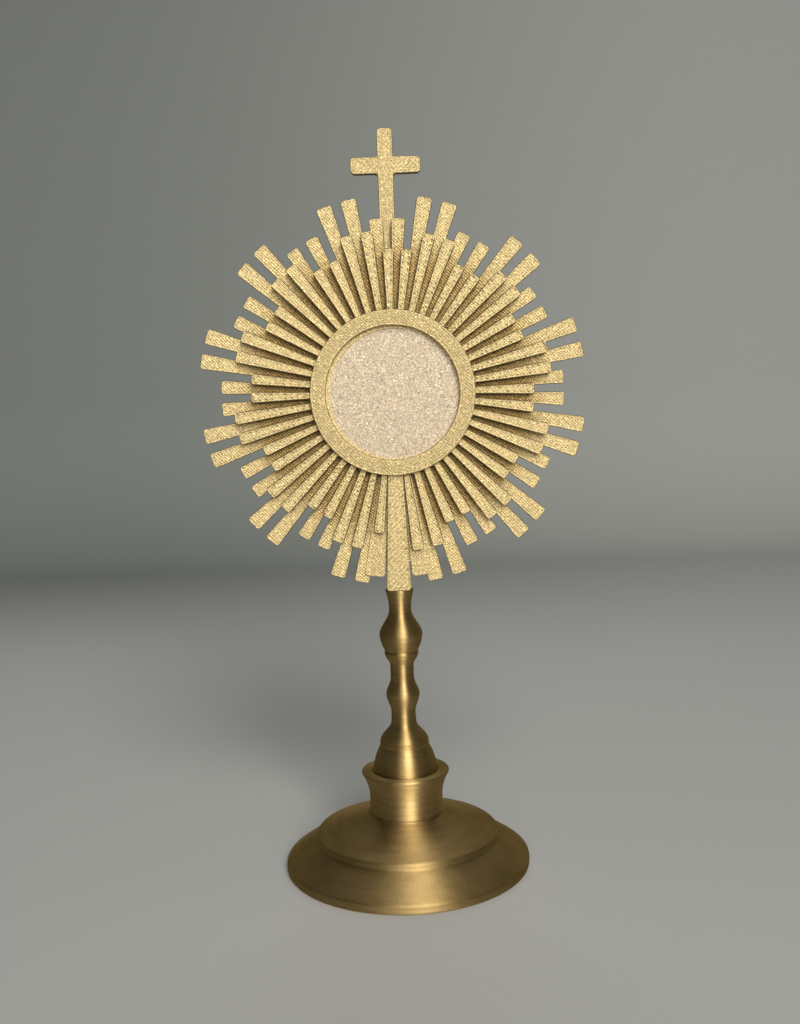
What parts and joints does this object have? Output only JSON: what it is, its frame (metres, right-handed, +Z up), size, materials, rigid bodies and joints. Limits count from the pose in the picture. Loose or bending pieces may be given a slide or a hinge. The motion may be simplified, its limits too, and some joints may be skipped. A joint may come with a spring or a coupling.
{
  "type": "monstrance",
  "caption": "Small altar monstrance: layered sunburst head with cross, ringed host window and hinged rear door on a turned baluster stem and round foot.",
  "frame": {"origin": "centre of the foot's underside", "axes": "+Z up along the stem, -Y is the front where the host is seen, +X to the viewer's right"},
  "size_m": [0.074, 0.0488, 0.1449],
  "materials": {
    "antique_brass": "satin, lathe-turned, aged",
    "bright_brass": "turned, lightly polished",
    "steel": "plain zinc-plated",
    "felt": "pressed wool felt",
    "silk_gold": "silk sheen with print lines",
    "cream_glitter": "fine glitter",
    "magnet_plating": "nickel plated"
  },
  "bodies": {
    "stand": {"foot": "antique_brass", "neck_collar": "antique_brass", "stem_bell": "antique_brass", "stem": "antique_brass", "tie_rod": "steel", "washer": "steel", "nut": "steel", "base_pad": "felt", "head_pin": "bright_brass", "tang": "silk_gold", "brace_plate": "silk_gold", "front_ray_plate": "silk_gold", "back_ray_plate": "silk_gold", "cross": "silk_gold", "bezel_ring": "silk_gold", "rear_housing": "silk_gold", "hinge_pin": "steel", "housing_screws": "steel", "housing_magnet": "magnet_plating"},
    "door": {"rear_door": "silk_gold", "lunette_ring": "silk_gold", "host_disc": "cream_glitter", "door_knob": "bright_brass", "door_magnet": "magnet_plating"}
  },
  "joints": [
    {"name": "door_hinge", "type": "hinge", "parent": "stand", "child": "door", "pos_m": [0.019, 0.0024, 0.0945], "axis": [0, 0, -1], "range_deg": [0, 170]}
  ]
}
